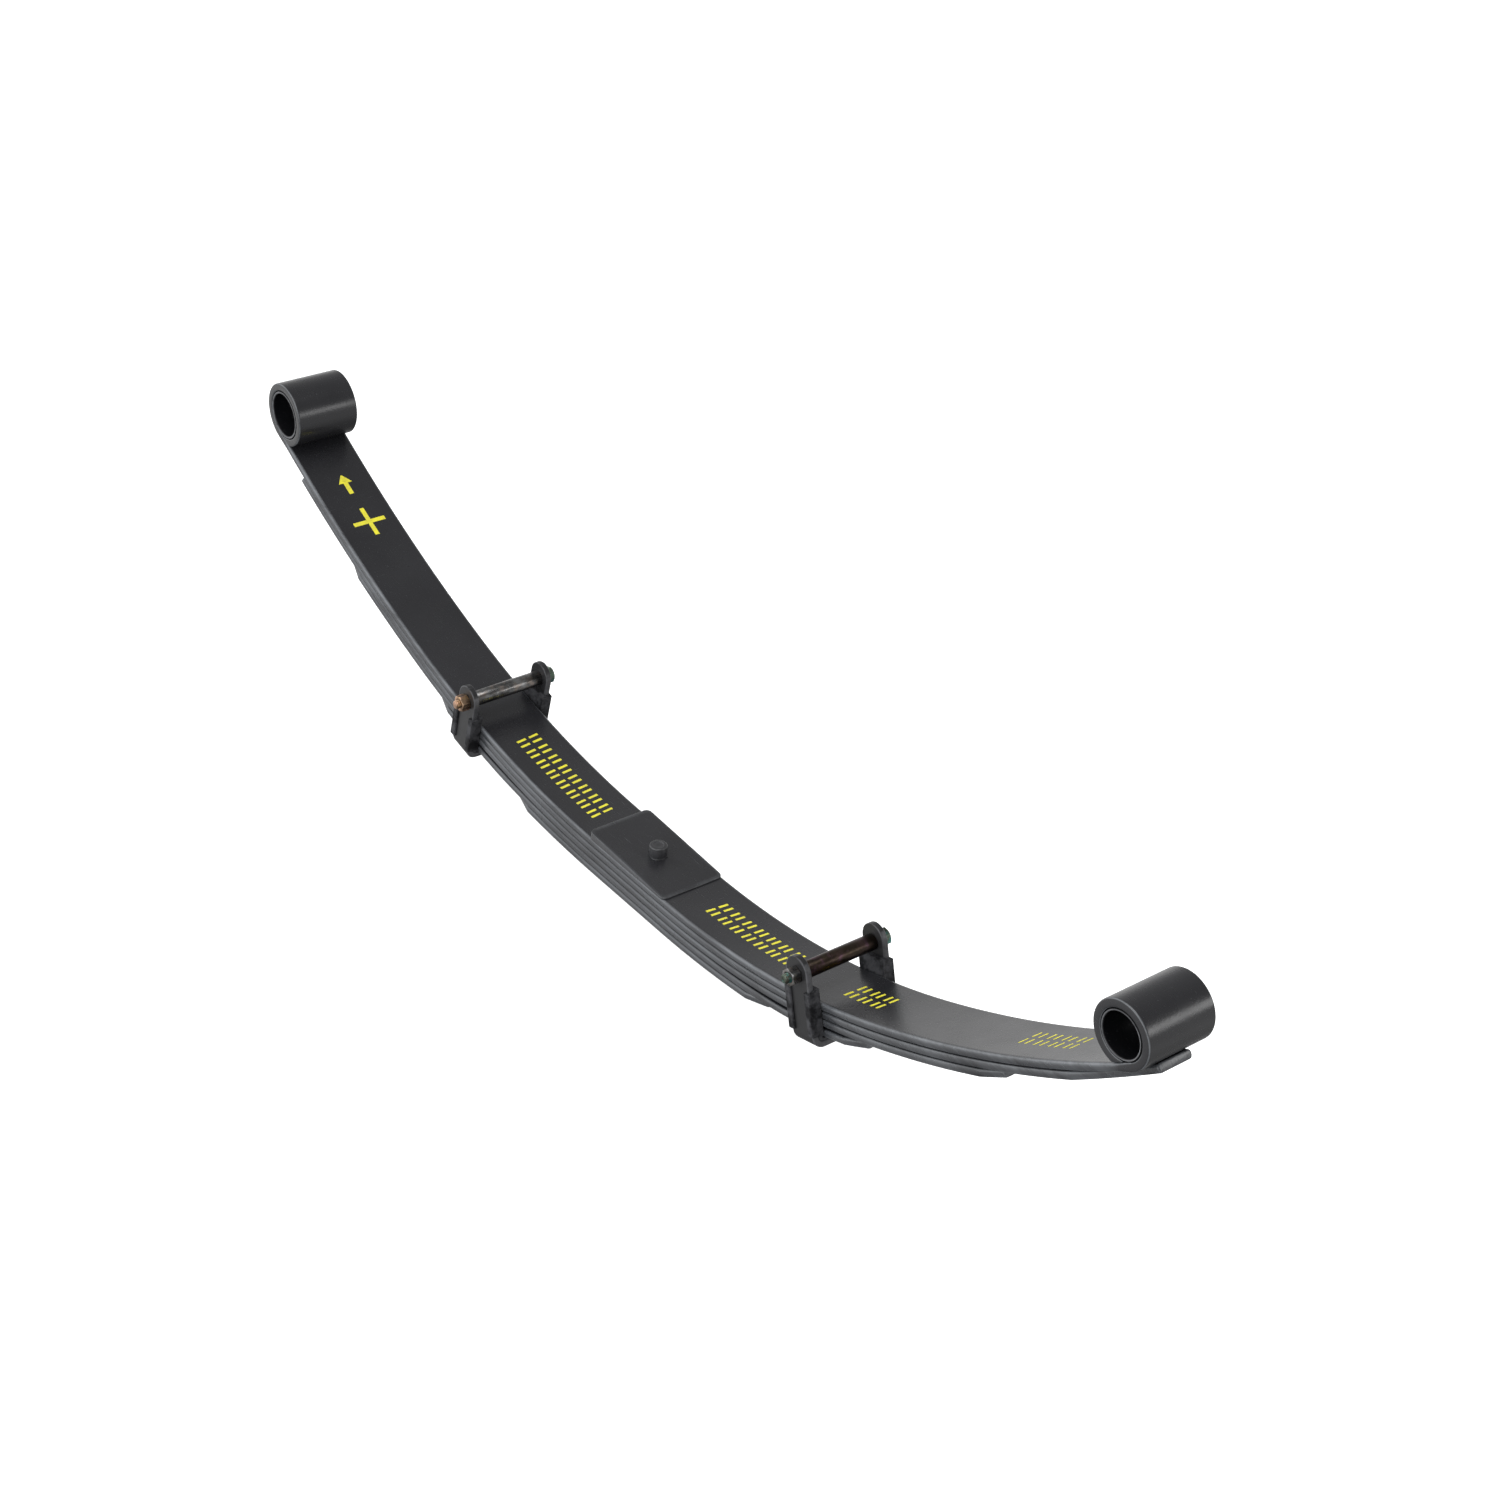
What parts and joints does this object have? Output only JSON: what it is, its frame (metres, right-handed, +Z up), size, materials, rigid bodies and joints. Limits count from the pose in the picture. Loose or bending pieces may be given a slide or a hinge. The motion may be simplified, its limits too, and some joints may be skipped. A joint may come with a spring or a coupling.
{
  "type": "leaf spring",
  "caption": "Arched multi-leaf vehicle spring with rolled eyes, stepped leaves, a tapered axle wedge with centre bolt, and bolted rebound clips.",
  "frame": {"origin": "where the centre bolt's axis crosses the axle seat, which is the upper face of the tapered wedge", "axes": "+X along the spring from the front eye to the rear eye, +Y across the leaves to the vehicle's right, +Z up along the centre bolt, out of the bolt's head"},
  "size_m": [1.1433, 0.0982, 0.2607],
  "materials": {
    "leaf_steel": "satin black paint over spring steel, lightly marked",
    "clip_steel": "satin black paint over pressed steel strap",
    "liner_plastic": "matte moulded black plastic",
    "bolt_steel": "painted with the leaves",
    "sleeve_steel": "black, slightly glossy",
    "clip_bolt_zinc": "dark yellow zinc plate with an iridescent tint",
    "marking_paint": "thin yellow stencil paint"
  },
  "bodies": {
    "leaf_pack": {"main_leaf": "leaf_steel", "second_leaf": "leaf_steel", "third_leaf": "leaf_steel", "fourth_leaf": "leaf_steel", "fifth_leaf": "leaf_steel", "axle_wedge": "leaf_steel", "centre_bolt": "bolt_steel", "centre_nut": "bolt_steel"},
    "front_clip": {"front_clip_strap": "clip_steel", "front_clip_left_liner": "liner_plastic", "front_clip_right_liner": "liner_plastic", "front_clip_spacer": "clip_bolt_zinc", "front_clip_bolt": "clip_bolt_zinc", "front_clip_nut": "clip_bolt_zinc", "front_clip_rivet": "clip_steel"},
    "front_eye": {"front_eye_sleeve": "sleeve_steel"},
    "rear_clip": {"rear_clip_strap": "clip_steel", "rear_clip_left_liner": "liner_plastic", "rear_clip_right_liner": "liner_plastic", "rear_clip_spacer": "clip_bolt_zinc", "rear_clip_bolt": "clip_bolt_zinc", "rear_clip_nut": "clip_bolt_zinc", "rear_clip_rivet": "clip_steel"},
    "rear_eye": {"rear_eye_sleeve": "sleeve_steel"}
  },
  "joints": [
    {"name": "front_arm_flex", "type": "hinge", "parent": "leaf_pack", "child": "front_clip", "pos_m": [-0.15144, 0, -0.01163], "axis": [0, -1, 0], "range_deg": [0, 9], "stiffness_Nm_per_rad": 5800, "deforming": ["main_leaf", "second_leaf", "third_leaf", "fourth_leaf", "fifth_leaf"]},
    {"name": "front_eye_flex", "type": "hinge", "parent": "front_clip", "child": "front_eye", "pos_m": [-0.38252, 0, 0.05967], "axis": [0, -1, 0], "range_deg": [0, 9], "deforming": ["main_leaf", "second_leaf", "third_leaf"]},
    {"name": "rear_arm_flex", "type": "hinge", "parent": "leaf_pack", "child": "rear_clip", "pos_m": [0.15166, 0, -0.01031], "axis": [0, 1, 0], "range_deg": [0, 9], "stiffness_Nm_per_rad": 5800, "deforming": ["main_leaf", "second_leaf", "third_leaf", "fourth_leaf", "fifth_leaf"]},
    {"name": "rear_eye_flex", "type": "hinge", "parent": "rear_clip", "child": "rear_eye", "pos_m": [0.37889, 0, 0.07292], "axis": [0, 1, 0], "range_deg": [0, 9], "deforming": ["main_leaf", "second_leaf", "third_leaf"]}
  ],
  "couplings": [
    {"joint": "front_eye_flex", "follows": "front_arm_flex", "ratio": 1},
    {"joint": "rear_eye_flex", "follows": "rear_arm_flex", "ratio": 1}
  ]
}
